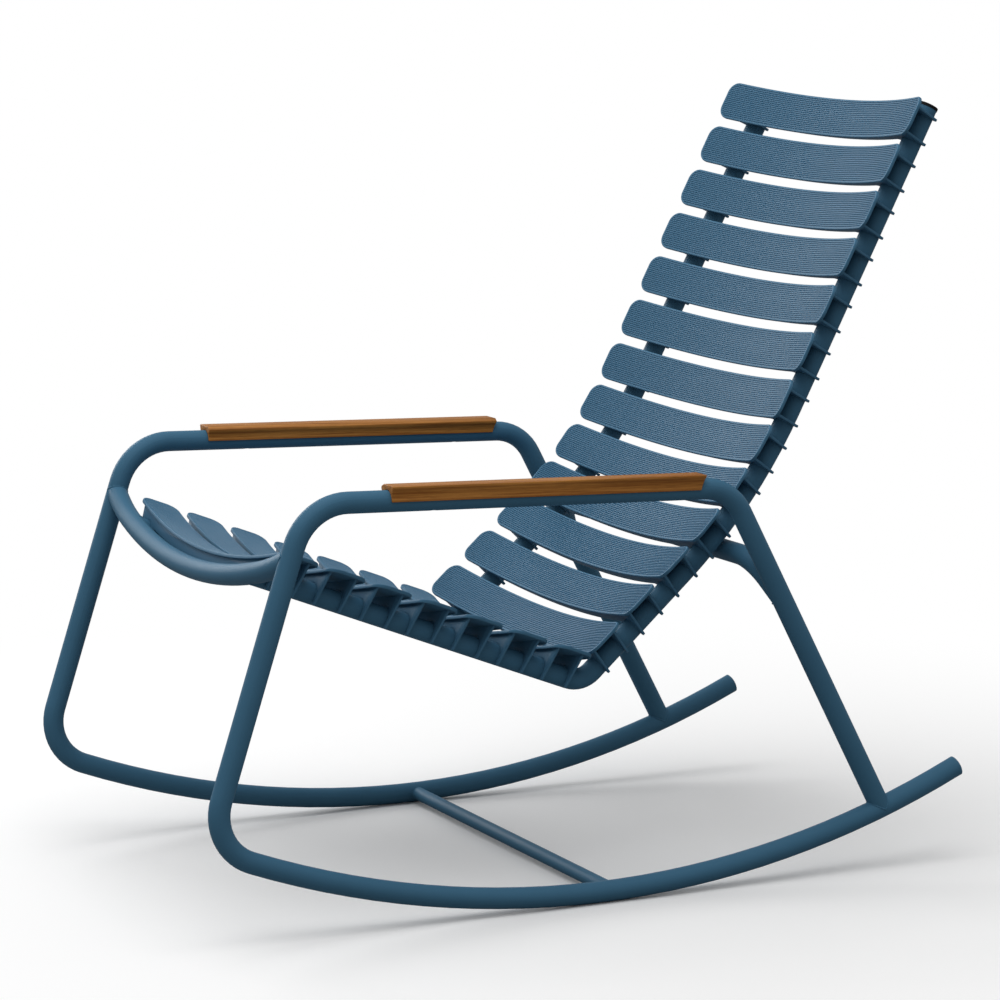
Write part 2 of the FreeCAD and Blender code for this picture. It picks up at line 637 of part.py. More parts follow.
def arm_screws(label, side):
    """Two screws in each arm: heads under the tube's upper wall, shanks up into the pad."""
    tilt = math.degrees(math.atan2(ARM.y, ARM.x))
    wall = math.sqrt((TUBE_RADIUS - size("tube_wall")) ** 2 - (size("screw_head") / 2) ** 2)
    head_top = wall - size("weld_gap")
    grip = TUBE_RADIUS + size("pad_clearance") + size("screw_grip")
    bottom = head_top - size("screw_head_height")
    first, last = screw_places()
    middle = (first + last) / 2
    solids = []
    for along in ((first - middle).dot(ARM), (last - middle).dot(ARM)):
        head = Part.makeCylinder(size("screw_head") / 2, size("screw_head_height"), Vector(0, along, bottom))
        shank = Part.makeCylinder(size("screw_diameter") / 2, grip - head_top, Vector(0, along, head_top))
        screw = head.fuse(shank).removeSplitter()
        rim = [e for e in screw.Edges if abs(e.BoundBox.ZMax - bottom) < ON_FACE]
        solids.append(screw.makeFillet(size("screw_head_height") / 2, rim))
    feature = doc.addObject("Part::Feature", label)
    feature.Label = label
    feature.Shape = Part.makeCompound(solids)
    feature.Placement = Placement(
        chair_point(side * size("frame_spacing") / 2, middle), Rotation(Vector(1, 0, 0), tilt))
    return feature


def end_cap(label, placement, rim, height, dome):
    """Turned cap of a tube's end: a stem inside the tube, a rim and a low crown."""
    body = new_body(label, placement)
    stem = TUBE_RADIUS - size("tube_wall") - size("cap_play")
    crown = height + dome
    corners = [Vector(0, -size("cap_spigot"), 0), Vector(stem, -size("cap_spigot"), 0),
               Vector(stem, 0, 0), Vector(rim, 0, 0), Vector(rim, height, 0)]
    section = new_sketch(body, "CapSection", "XZ_Plane")
    crown_radius = (rim ** 2 + dome ** 2) / (2 * dome)
    section.addGeometry([Part.LineSegment(a, b) for a, b in zip(corners, corners[1:])])
    section.addGeometry([
        arc_about(Vector(0, crown - crown_radius, 0), corners[-1], Vector(0, crown, 0)),
        Part.LineSegment(Vector(0, crown, 0), corners[0]),
    ])
    turned = body.newObject("PartDesign::Revolution", "Turned")
    turned.Profile = section
    turned.ReferenceAxis = (section, ["V_Axis"])
    turned.Angle = 360
    doc.recompute()
    return body


def pointing(place, side, across, heading):
    """Placement at a tube's end, with z out of the tube."""
    return Placement(chair_point(side * across / 2, place), Rotation(Vector(0, 0, 1), chair_vector(heading)))


parts = []
for name, side in (("left", 1), ("right", -1)):
    parts.append(side_frame(name + "_side_frame", side))
    parts.append(seat_rail(name + "_seat_rail", side))
    parts.append(arm_pad(name + "_arm_pad", side))
    parts.append(arm_screws(name + "_arm_pad_screws", side))
    runner_end = pointing(REAR_TIP, side, size("frame_spacing"), direction(size("rocker_rear_angle")))
    rail_end = pointing(RAIL_TOP, side, size("rail_spacing"), direction(RAIL_TOP_SLOPE))
    parts.append(end_cap(name + "_runner_cap", runner_end, TUBE_RADIUS, size("cap_rim"), size("cap_dome")))
    parts.append(end_cap(name + "_rail_plug", rail_end, TUBE_RADIUS + size("plug_flange"),
                         size("plug_rim"), size("plug_dome")))
parts.append(front_cross_tube())
parts.append(rear_cross_tube())
parts.append(rocker_stretcher())
for number in range(int(size("seat_slat_count"))):
    place = SEAT_FRONT + direction(SEAT_SLOPE) * size("seat_pitch") * number
    parts.append(slat("seat_slat_%02d" % (number + 1), slat_placement(place, SEAT_SLOPE)))
for number in range(int(size("back_slat_count"))):
    place, slope = on_back(size("back_pitch") * number)
    parts.append(slat("back_slat_%02d" % (number + 1), slat_placement(place, slope)))
doc.recompute()

failed = [o.Label for o in doc.Objects if "Invalid" in o.State or "Error" in o.State]
failed += [p.Label for p in parts if p.Shape.isNull() or not p.Shape.isValid()]
if failed:
    raise RuntimeError("failed: " + ", ".join(failed))
os.makedirs("parts", exist_ok=True)
for part in parts:
    part.Shape.exportStep("parts/%s.step" % part.Label)
    print("%s %d solids, %.1f cm3" % (part.Label, len(part.Shape.Solids), part.Shape.Volume / 1000))
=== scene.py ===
import math

import bmesh
import bpy
from bpy.props import FloatProperty, FloatVectorProperty, IntProperty, PointerProperty
from mathutils import Matrix, Vector


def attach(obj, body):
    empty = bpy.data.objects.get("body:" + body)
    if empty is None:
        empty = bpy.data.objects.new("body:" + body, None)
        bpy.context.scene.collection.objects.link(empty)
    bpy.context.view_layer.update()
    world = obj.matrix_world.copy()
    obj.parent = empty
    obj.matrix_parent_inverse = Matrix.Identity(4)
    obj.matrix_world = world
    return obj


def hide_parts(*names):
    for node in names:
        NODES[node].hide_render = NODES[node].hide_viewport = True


bl_info = {
    "name": "Rocking Lounge Chair",
    "version": (1, 0, 0),
    "blender": (4, 5, 0),
    "location": "3D View > Sidebar > Chair",
    "description": "Slats, arm pads, fittings and finishes of a steel rocking lounge chair",
    "category": "Object",
}

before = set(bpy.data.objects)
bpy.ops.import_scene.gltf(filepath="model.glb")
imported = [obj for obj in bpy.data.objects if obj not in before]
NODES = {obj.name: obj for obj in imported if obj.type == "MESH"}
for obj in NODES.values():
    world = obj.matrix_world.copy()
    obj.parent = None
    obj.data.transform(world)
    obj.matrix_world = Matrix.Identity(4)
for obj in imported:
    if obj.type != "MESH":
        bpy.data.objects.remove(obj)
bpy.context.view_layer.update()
SIDES = (("left", 1), ("right", -1))
ROOT = "root"
SMOOTH_ANGLE = math.radians(32)

# Stage, in metres
FLOOR_REACH = 60
LAMP_AIM = Vector((0, 0, 0.4))
KEY_SIZE = 2.2
KEY_PLACE = Vector((-3.4, -0.9, 1.7))
TOP_SIZE = 4.0
TOP_PLACE = Vector((0.4, -0.9, 3.8))
CAMERA_PLACE = (4.3431, -2.0906, 1.2066)
CAMERA_TURN = (math.radians(81.2924), 0, math.radians(64.2488))


# Settings

def linear(hex_colour):
    """Turns an sRGB hex colour into linear red, green and blue."""
    levels = [int(hex_colour[i:i + 2], 16) / 255 for i in (1, 3, 5)]
    return tuple(v / 12.92 if v <= 0.04045 else ((v + 0.055) / 1.055) ** 2.4 for v in levels)


def length(name, description, millimetres):
    """A length that a user may change, given here in millimetres."""
    return FloatProperty(name=name, description=description, default=millimetres / 1000,
                         unit="LENGTH", precision=4)


def angle(name, description, degrees):
    """An angle that a user may change, given here in degrees."""
    return FloatProperty(name=name, description=description, default=math.radians(degrees),
                         subtype="ANGLE", unit="ROTATION")


def colour(name, description, hex_colour):
    """A colour that a user may change, given here as sRGB hex."""
    return FloatVectorProperty(name=name, description=description, default=linear(hex_colour),
                               size=3, min=0, max=1, subtype="COLOR")


def amount(name, description, value, low=0.0, high=10.0):
    """A plain number that a user may change."""
    return FloatProperty(name=name, description=description, default=value, min=low, max=high)


class SlatSettings(bpy.types.PropertyGroup):
    """One moulded slat: hollow-faced skin, fine grooves, two ribs and four clips"""

    length: length("Length", "Across the chair", 495.5)
    width: length("Width", "Along the rails", 54)
    hollow: length("Hollow", "Radius of the upper face, across the chair", 945)
    height: length("Height", "Upper face above the rails' centrelines, mid-chair", 7.1)
    skin: length("Skin", "Wall of the moulding", 2.4)
    edge: length("Edge", "Depth of the turned-down edge", 4.4)
    corner: length("Corner", "Radius of the corners, seen from above", 16.3)
    border: length("Border", "Plain margin round the grooves", 2.6)
    grooves: IntProperty(name="Grooves", description="Along the slat", default=18, min=1)
    groove_pitch: length("Groove pitch", "Between neighbouring grooves", 2.75)
    groove_mouth: length("Groove mouth", "Width of a groove at the face", 1.6)
    groove_floor: length("Groove floor", "Width of a groove at its bottom", 0.6)
    groove_depth: length("Groove depth", "Under the face", 1.1)
    front_rib: length("Front rib", "Its middle ahead of the slat's middle", 20.5)
    rear_rib: length("Rear rib", "Its middle behind the slat's middle", 15)
    rib_thickness: length("Rib thickness", "Each rib and clip", 3)
    rib_depth: length("Rib depth", "From the upper face", 19)
    rib_inset: length("Rib inset", "Rib's end short of the slat's end", 12)
    rib_rounding: length("Rib rounding", "Softened edges of ribs and clips", 0.4)
    clip_gap: length("Clip gap", "Between a clip and its rail", 0.3)
    clip_arm: length("Clip arm", "Width of a clip's arm beside the rail", 4)
    clip_reach: length("Clip reach", "From the rail's centre to the clip's tip", 12.2)
    clip_wrap: angle("Clip wrap", "Hold below the rail's widest line", 35)
    clip_fillet: length("Clip fillet", "Hollow between rib and clip", 10)
    clip_tip: length("Clip tip", "Rounding of the clip's tips", 2.4)


class RailSettings(bpy.types.PropertyGroup):
    """The seat rails' line in the side view, which carries the slats"""

    diameter: length("Diameter", "Outside of the tube", 26.9)
    spacing: length("Spacing", "Between the two rails", 407.4)
    front_y: length("Front, y", "Rail under the first seat slat", -391.4)
    front_z: length("Front, z", "Rail under the first seat slat", 420.6)
    seat_slats: IntProperty(name="Seat slats", description="On the seat", default=7, min=1)
    seat_slope: angle("Seat slope", "Seat falls towards the back", 21.18)
    seat_pitch: length("Seat pitch", "Between seat slats", 66.4)
    bend_lead: length("Bend lead", "Last seat slat to the sharp corner", 42.7)
    back_lead: length("Back lead", "Sharp corner to the first back slat", 53.4)
    back_slats: IntProperty(name="Back slats", description="On the back", default=13, min=1)
    back_pitch: length("Back pitch", "Between back slats", 66.9)
    lower_slope: angle("Lower slope", "Lower back above the horizontal", 41.9)
    lower_run: length("Lower run", "Straight rail above the first back slat", 139.7)
    lumbar_radius: length("Lumbar radius", "Between lower and upper back", 720.2)
    upper_slope: angle("Upper slope", "Upper back above the horizontal", 62.5)


class PadSettings(bpy.types.PropertyGroup):
    """One wooden arm pad and its two screws"""

    spacing: length("Spacing", "Between the two arms", 600)
    front_y: length("Arm's front, y", "Sharp corner of front leg and arm", -395.4)
    front_z: length("Arm's front, z", "Sharp corner of front leg and arm", 530.8)
    tilt: angle("Tilt", "Arm falls towards the back", 1.7251)
    start: length("Start", "Arm's front corner to the pad", 104.5)
    length: length("Length", "Along the upper face", 428)
    slant: length("Slant", "Rear end leans in, over its height", 6.5)
    half_width: length("Half width", "Middle to either lip", 17.5)
    flat: length("Flat", "Middle to the sloping inner margin", 10.5)
    rise: length("Rise", "Upper face above the arm's centreline", 19.6)
    inner_lip: length("Inner lip", "Its upper edge above the arm's centreline", 16.4)
    lip: length("Lip", "Thickness of the lips' edges", 2.8)
    waist: length("Waist", "Middle to the hollow sides", 15.3)
    waist_rise: length("Waist rise", "Narrowest line above the arm's centreline", 7.5)
    foot: length("Foot", "Middle to the lower edges", 16.3)
    foot_rise: length("Foot rise", "Lower edges above the arm's centreline", 0.5)
    groove: length("Groove", "Radius of the groove round the arm", 13.75)
    rounding: length("Rounding", "Softened edges", 0.9)
    screw_inset: length("Screw inset", "From the pad's ends", 60)
    screw_seat: length("Screw seat", "Top of the head above the arm's centreline, in the tube", 10.77)
    screw_grip: length("Screw grip", "Tip above the pad's groove", 3.6)
    screw_head: length("Screw head", "Radius", 4.5)
    screw_crown: length("Screw crown", "Height of the domed head", 2.6)
    screw_shank: length("Screw shank", "Radius", 2.4)
    screw_socket: length("Screw socket", "Half the width across its flats", 1.5)


class WeldSettings(bpy.types.PropertyGroup):
    """Weld beads where one tube's end meets another tube"""

    bead: length("Bead", "Radius of the bead", 1.0)
    ripple: length("Ripple", "Height of its ripples", 0.15)
    ripple_pitch: length("Ripple pitch", "Between neighbouring ripples", 1.9)


class FinishSettings(bpy.types.PropertyGroup):
    """Colours of the finishes"""

    steel: colour("Steel", "Powder coat on every tube", "#45718d")
    steel_cloud: colour("Steel cloud", "Faint unevenness of the powder coat", "#406b86")
    slat: colour("Slats", "Moulded slats", "#487593")
    slat_cloud: colour("Slat cloud", "Faint unevenness of the moulding", "#44708d")
    wood_light: colour("Wood, light", "Early growth", "#b97d3a")
    wood_mid: colour("Wood, middle", "Between the growth lines", "#8f571f")
    wood_dark: colour("Wood, dark", "Growth lines and pores", "#54300d")
    plug: colour("Plugs", "Rail plugs", "#040405")
    screw: colour("Screws", "Stainless steel", "#b9b9b6")


class StageSettings(bpy.types.PropertyGroup):
    """Floor, light and camera"""

    floor: colour("Floor", "Pale floor under the chair", "#ffffff")
    fade_start: amount("Fade start", "Metres from the chair where the floor starts to fade", 0.45)
    fade_end: amount("Fade end", "Metres from the chair where the floor is white", 1.7)
    bounce: colour("Bounce", "Floor as the chair sees it", "#8c8c8c")
    world: amount("World light", "Strength of the even light all round", 0.44)
    key: amount("Key light", "Watts of the large soft light at the far side", 55, high=1000)
    top: amount("Top light", "Watts of the overhead soft light", 86, high=1000)
    lens: amount("Lens", "Millimetres", 134.48, high=500)


# Meshes

def to_mesh(name, bm):
    """Ends a piece's mesh: normals outwards, smooth faces, crisp edges."""
    bmesh.ops.recalc_face_normals(bm, faces=bm.faces)
    mesh = bpy.data.meshes.new(name)
    bm.to_mesh(mesh)
    bm.free()
    mesh.shade_smooth()
    mesh.set_sharp_from_angle(angle=SMOOTH_ANGLE)
    return mesh


def add_faces(bm, points, faces):
    """Adds faces to a mesh from points and their numbers."""
    verts = [bm.verts.new(p) for p in points]
    for face in faces:
        bm.faces.new([verts[i] for i in face])
    return verts


def add_skin(bm, rings, closed=False):
    """Adds quads between rings of points, and fills or joins the first and last ring."""
    count = len(rings[0])
    spans = len(rings) if closed else len(rings) - 1
    faces = []
    for a in range(spans):
        b = (a + 1) % len(rings)
        for i in range(count):
            j = (i + 1) % count
            faces.append((a * count + i, a * count + j, b * count + j, b * count + i))
    if not closed:
        last = (len(rings) - 1) * count
        faces.append(tuple(reversed(range(count))))
        faces.append(tuple(range(last, last + count)))
    return add_faces(bm, [p for ring in rings for p in ring], faces)


def add_plate(bm, outline, place, thickness, rounding):
    """Adds a flat plate of an outline (x, z), from y = place, with softened edges."""
    verts = [bm.verts.new((x, place, z)) for x, z in outline]
    face = bm.faces.new(verts)
    raised = bmesh.ops.extrude_face_region(bm, geom=[face])["geom"]
    moved = [g for g in raised if isinstance(g, bmesh.types.BMVert)]
    bmesh.ops.translate(bm, verts=moved, vec=(0, thickness, 0))
    rims = list(face.edges) + [g for g in raised if isinstance(g, bmesh.types.BMEdge)]
    bmesh.ops.bevel(bm, geom=rims, offset=rounding, segments=2, profile=0.5,
                    affect="EDGES", clamp_overlap=True)


def arc(centre, radius, first, last, steps):
    """Points of a circle's arc in a plane, both ends included; angles in degrees."""
    turns = [math.radians(first + (last - first) * n / steps) for n in range(steps + 1)]
    return [(centre[0] + radius * math.cos(t), centre[1] + radius * math.sin(t)) for t in turns]


def arc_through(start, middle, end, steps):
    """Points of the arc from start to end through a middle point, both ends included."""
    ax, ay = start
    bx, by = middle
    cx, cy = end
    twice = 2 * (ax * (by - cy) + bx * (cy - ay) + cx * (ay - by))
    squares = [x * x + y * y for x, y in (start, middle, end)]
    centre = ((squares[0] * (by - cy) + squares[1] * (cy - ay) + squares[2] * (ay - by)) / twice,
              (squares[0] * (cx - bx) + squares[1] * (ax - cx) + squares[2] * (bx - ax)) / twice)
    radius = math.dist(centre, start)
    first, via, last = [math.degrees(math.atan2(y - centre[1], x - centre[0]))
                        for x, y in (start, middle, end)]
    via = first + (via - first + 180) % 360 - 180
    last = via + (last - via + 180) % 360 - 180
    return arc(centre, radius, first, last, steps)


def make_piece(name, mesh, material, nodes, place=None):
    """Puts a piece in the chair: it rides on the chair, and stands for CAD nodes if any."""
    piece = bpy.data.objects.new(name, mesh)
    bpy.context.scene.collection.objects.link(piece)
    if place is not None:
        piece.matrix_world = place
    if material.name not in mesh.materials:
        mesh.materials.append(material)
    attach(piece, ROOT)
    if nodes:
        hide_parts(*nodes)
    return piece


def coat(node, material):
    """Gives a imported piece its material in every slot."""
    if not node.material_slots:
        node.data.materials.append(material)
    for slot in node.material_slots:
        slot.material = material


# Materials

def add(tree, kind, inputs=None, **settings):
    """Adds a shader node, sets its properties, and sets or links its inputs."""
    node = tree.nodes.new(kind)
    for name, value in settings.items():
        setattr(node, name, value)
    for name, value in (inputs or {}).items():
        if isinstance(value, bpy.types.NodeSocket):
            tree.links.new(value, node.inputs[name])
        else:
            node.inputs[name].default_value = value
    return node


def new_material(name):
    """An empty material and its node tree; one that exists is used again."""
    material = bpy.data.materials.get(name) or bpy.data.materials.new(name)
    material.use_nodes = True
    material.node_tree.nodes.clear()
    return material, material.node_tree


def shade_between(tree, factor, first, second):
    """Mixes two colours by a factor and gives the mixed colour's socket."""
    mix = add(tree, "ShaderNodeMix", {0: factor, 6: (*first, 1), 7: (*second, 1)},
              data_type="RGBA", clamp_factor=True)
    return mix.outputs[2]


def finish_surface(tree, inputs):
    """Ends a material with one principled surface."""
    surface = add(tree, "ShaderNodeBsdfPrincipled", inputs)
    add(tree, "ShaderNodeOutputMaterial", {"Surface": surface.outputs["BSDF"]})


def powder_coated_steel(finish):
    """Steel tube, sprayed with powder and baked."""
    # Baked powder has a soft satin sheen, broken by a faint orange peel about 1.6 mm across, and
    # drifts a little in colour over 70 mm
    material, tree = new_material("powder_coated_steel")
    place = add(tree, "ShaderNodeTexCoord").outputs["Object"]
    cloud = add(tree, "ShaderNodeTexNoise", {"Vector": place, "Scale": 1 / 0.07, "Detail": 3.0})
    peel = add(tree, "ShaderNodeTexNoise", {"Vector": place, "Scale": 1 / 0.0016, "Detail": 1.0})
    sheen = add(tree, "ShaderNodeMapRange", {"Value": cloud.outputs["Fac"], "To Min": 0.4, "To Max": 0.5})
    skin = add(tree, "ShaderNodeBump", {
        "Height": peel.outputs["Fac"], "Strength": 0.25, "Distance": 0.00006})
    finish_surface(tree, {
        "Base Color": shade_between(tree, cloud.outputs["Fac"], finish.steel, finish.steel_cloud),
        "Roughness": sheen.outputs["Result"],
        "Specular IOR Level": 0.08,
        "Normal": skin.outputs["Normal"],
    })
    return material


def moulded_polypropylene(name, ground, cloud):
    """Slats and runner caps, injection moulded in a sparked steel mould."""
    # The melt's flow along the piece leaves faint long clouds, about 250 by 33 mm, and the
    # sparked mould a dull sheen that drifts a little with them
    material, tree = new_material("moulded_polypropylene_" + name)
    place = add(tree, "ShaderNodeTexCoord").outputs["Object"]
    flow = add(tree, "ShaderNodeMapping", {"Vector": place, "Scale": (4.0, 30.0, 30.0)})
    drift = add(tree, "ShaderNodeTexNoise", {"Vector": flow.outputs["Vector"], "Scale": 1.0, "Detail": 3.0})
    sheen = add(tree, "ShaderNodeMapRange", {"Value": drift.outputs["Fac"], "To Min": 0.44, "To Max": 0.56})
    finish_surface(tree, {
        "Base Color": shade_between(tree, drift.outputs["Fac"], ground, cloud),
        "Roughness": sheen.outputs["Result"],
        "IOR": 1.49,
        "Specular IOR Level": 0.15,
    })
    return material


def oiled_hardwood(finish):
    """Arm pads, planed along the grain, sanded and oiled."""
    # Long grain: growth bands 3 to 5 mm wide and 160 mm long, and pores 22 mm long. The pores are
    # drawn 0.7 mm wide, coarser than real ones, so that they show
    material, tree = new_material("oiled_hardwood")
    place = add(tree, "ShaderNodeTexCoord").outputs["Object"]
    bands_at = add(tree, "ShaderNodeMapping", {"Vector": place, "Scale": (1 / 0.005, 1 / 0.16, 1 / 0.003)})
    bands = add(tree, "ShaderNodeTexNoise", {
        "Vector": bands_at.outputs["Vector"], "Scale": 1.0, "Detail": 3.0, "Roughness": 0.55,
        "Distortion": 0.4})
    pores_at = add(tree, "ShaderNodeMapping", {
        "Vector": place, "Scale": (1 / 0.0007, 1 / 0.022, 1 / 0.0007)})
    pores = add(tree, "ShaderNodeTexNoise", {
        "Vector": pores_at.outputs["Vector"], "Scale": 1.0, "Detail": 2.0})
    growth = add(tree, "ShaderNodeMapRange", {
        "Value": bands.outputs["Fac"], "From Min": 0.38, "From Max": 0.64})
    hair = add(tree, "ShaderNodeMapRange", {
        "Value": pores.outputs["Fac"], "From Min": 0.5, "From Max": 0.72, "To Max": 0.4})
    ground = shade_between(tree, growth.outputs["Result"], finish.wood_light, finish.wood_mid)
    grain = add(tree, "ShaderNodeMix", {0: hair.outputs["Result"], 6: ground, 7: (*finish.wood_dark, 1)},
                data_type="RGBA", clamp_factor=True)
    skin = add(tree, "ShaderNodeBump", {
        "Height": pores.outputs["Fac"], "Strength": 0.35, "Distance": 0.0001})
    finish_surface(tree, {
        "Base Color": grain.outputs[2],
        "Roughness": 0.48,
        "Specular IOR Level": 0.2,
        "Normal": skin.outputs["Normal"],
    })
    return material


def moulded_nylon(finish):
    """Rail plugs, moulded black nylon."""
    # Near-black and dull, its sheen broken by grit about 0.8 mm across
    material, tree = new_material("moulded_nylon")
    place = add(tree, "ShaderNodeTexCoord").outputs["Object"]
    grit = add(tree, "ShaderNodeTexNoise", {"Vector": place, "Scale": 1 / 0.0008, "Detail": 1.0})
    sheen = add(tree, "ShaderNodeMapRange", {"Value": grit.outputs["Fac"], "To Min": 0.6, "To Max": 0.75})
    finish_surface(tree, {
        "Base Color": (*finish.plug, 1),
        "Roughness": sheen.outputs["Result"],
        "IOR": 1.53,
        "Specular IOR Level": 0.2,
    })
    return material


def turned_stainless_steel(finish):
    """Screws, turned stainless steel."""
    # Bare metal, its shine broken by fine turning marks about 0.25 mm across
    material, tree = new_material("turned_stainless_steel")
    place = add(tree, "ShaderNodeTexCoord").outputs["Object"]
    marks = add(tree, "ShaderNodeTexNoise", {"Vector": place, "Scale": 1 / 0.00025, "Detail": 1.0})
    sheen = add(tree, "ShaderNodeMapRange", {"Value": marks.outputs["Fac"], "To Min": 0.22, "To Max": 0.4})
    finish_surface(tree, {
        "Base Color": (*finish.screw, 1),
        "Metallic": 1.0,
        "Roughness": sheen.outputs["Result"],
    })
    return material


def seamless_paper(stage):
    """Studio floor, matt paper that fades to white away from the chair."""
    # Matt paper takes soft shadows near the chair and glares to plain white further off. It
    # throws less light back at the chair than it shows, as if it stopped short of the lights
    material, tree = new_material("seamless_paper")
    place = add(tree, "ShaderNodeNewGeometry").outputs["Position"]
    reach = add(tree, "ShaderNodeVectorMath", {0: place}, operation="LENGTH").outputs["Value"]
    fade = add(tree, "ShaderNodeMapRange", {
        "Value": reach, "From Min": stage.fade_start, "From Max": stage.fade_end},
        interpolation_type="SMOOTHSTEP")
    paper = add(tree, "ShaderNodeBsdfDiffuse", {"Color": (*stage.floor, 1)})
    glare = add(tree, "ShaderNodeEmission", {"Strength": 1.0})
    seen = add(tree, "ShaderNodeMixShader", {
        0: fade.outputs["Result"], 1: paper.outputs["BSDF"], 2: glare.outputs["Emission"]})
    bounce = add(tree, "ShaderNodeBsdfDiffuse", {"Color": (*stage.bounce, 1)})
    path = add(tree, "ShaderNodeLightPath")
    both = add(tree, "ShaderNodeMixShader", {
        0: path.outputs["Is Camera Ray"], 1: bounce.outputs["BSDF"], 2: seen.outputs["Shader"]})
    add(tree, "ShaderNodeOutputMaterial", {"Surface": both.outputs["Shader"]})
    return material


def white_room(stage):
    """World that looks plain white and lights the chair evenly from all round."""
    world = bpy.data.worlds.new("white_room")
    world.use_nodes = True
    tree = world.node_tree
    tree.nodes.clear()
    path = add(tree, "ShaderNodeLightPath")
    light = add(tree, "ShaderNodeBackground", {"Color": (1, 1, 1, 1), "Strength": stage.world})
    white = add(tree, "ShaderNodeBackground", {"Color": (1, 1, 1, 1), "Strength": 1.0})
    both = add(tree, "ShaderNodeMixShader", {
        0: path.outputs["Is Camera Ray"], 1: light.outputs["Background"], 2: white.outputs["Background"]})
    add(tree, "ShaderNodeOutputWorld", {"Surface": both.outputs["Shader"]})
    return world


# Slats

def face_height(slat, x, depth=0.0):
    """Height of the slat's curved face at a depth under its upper face."""
    return slat.height + slat.hollow - math.sqrt((slat.hollow + depth) ** 2 - x * x)


def groove_rows(slat):
    """Lines along the slat, as (y, depth): plain lands with grooves between them."""
    side = slat.width / 2 - slat.border
    rows = [(-side, 0.0)]
    first = -(slat.grooves - 1) / 2 * slat.groove_pitch
    for number in range(slat.grooves):
        middle = first + number * slat.groove_pitch
        rows += [(middle - slat.groove_mouth / 2, 0.0), (middle - slat.groove_floor / 2, slat.groove_depth),
                 (middle + slat.groove_floor / 2, slat.groove_depth), (middle + slat.groove_mouth / 2, 0.0)]
    return rows + [(side, 0.0)]


def add_slat_skin(bm, slat):
    """Adds the grooved face, the rounded edge and the hollow underside of a slat."""
    half = slat.length / 2 - slat.border
    side = slat.width / 2 - slat.border
    corner = slat.corner - slat.border
    run_out = 0.0012
    spans = 40
    rows = groove_rows(slat)
    grid = []
    for y, depth in rows:
        into = max(0.0, abs(y) - (side - corner))
        end = half - corner + math.sqrt(max(0.0, corner ** 2 - into ** 2))
        inner = end - run_out
        xs = [-end] + [inner * (2 * n / spans - 1) for n in range(spans + 1)] + [end]
        grid.append([(x, y, face_height(slat, x) - (depth if abs(x) < end else 0.0)) for x in xs])
    across = len(grid[0])
    down = len(rows)
    points = [p for row in grid for p in row]
    faces = [(j * across + i, j * across + i + 1, (j + 1) * across + i + 1, (j + 1) * across + i)
             for j in range(down - 1) for i in range(across - 1)]
    border = list(range(across))
    border += [j * across + across - 1 for j in range(1, down)]
    border += [(down - 1) * across + i for i in range(across - 2, -1, -1)]
    border += [j * across for j in range(down - 2, 0, -1)]

    def outward(x, y):
        """Direction out of the slat's outline at a point of the border."""
        cx = math.copysign(half - corner, x)
        cy = math.copysign(side - corner, y)
        if abs(y) >= side - 1e-9 and abs(x) <= half - corner + 1e-9:
            return Vector((0, math.copysign(1, y)))
        if abs(y) <= side - corner:
            return Vector((math.copysign(1, x), 0))
        return Vector((x - cx, y - cy)).normalized()

    # Insets from the outline and drops from the face, down the outer edge and up the inner
    edge = slat.edge
    skin = slat.skin
    rim = ((0.0016, 0.0), (0.0009, 0.00012), (0.0004, 0.0004), (0.0001, 0.0009), (0.0, 0.0016),
           (0.0, edge - 0.0008), (0.0002, edge - 0.0002), (0.0008, edge), (skin - 0.0006, edge),
           (skin - 0.0001, edge - 0.0004), (skin, edge - 0.001), (skin, skin + 0.0006),
           (skin + 0.0006, skin))
    loop = border
    for inset, drop in rim:
        ring = []
        for index in border:
            x, y, _ = points[index]
            out = outward(x, y) * (slat.border - inset)
            ring.append((x + out.x, y + out.y, face_height(slat, x + out.x, drop)))
        start = len(points)
        points += ring
        new = list(range(start, start + len(ring)))
        faces += [(loop[k], new[k], new[(k + 1) % len(new)], loop[(k + 1) % len(new)])
                  for k in range(len(new))]
        loop = new
    top = across + down - 2
    for i in range(across - 1):
        opposite = top + across - 1 - i
        faces.append((loop[i], loop[opposite], loop[opposite - 1], loop[i + 1]))
    faces.append(tuple(loop[k] for k in range(top, across - 2, -1)))
    faces.append(tuple([loop[0]] + [loop[k] for k in range(len(loop) - 1, top + across - 2, -1)]))
    add_faces(bm, points, faces)


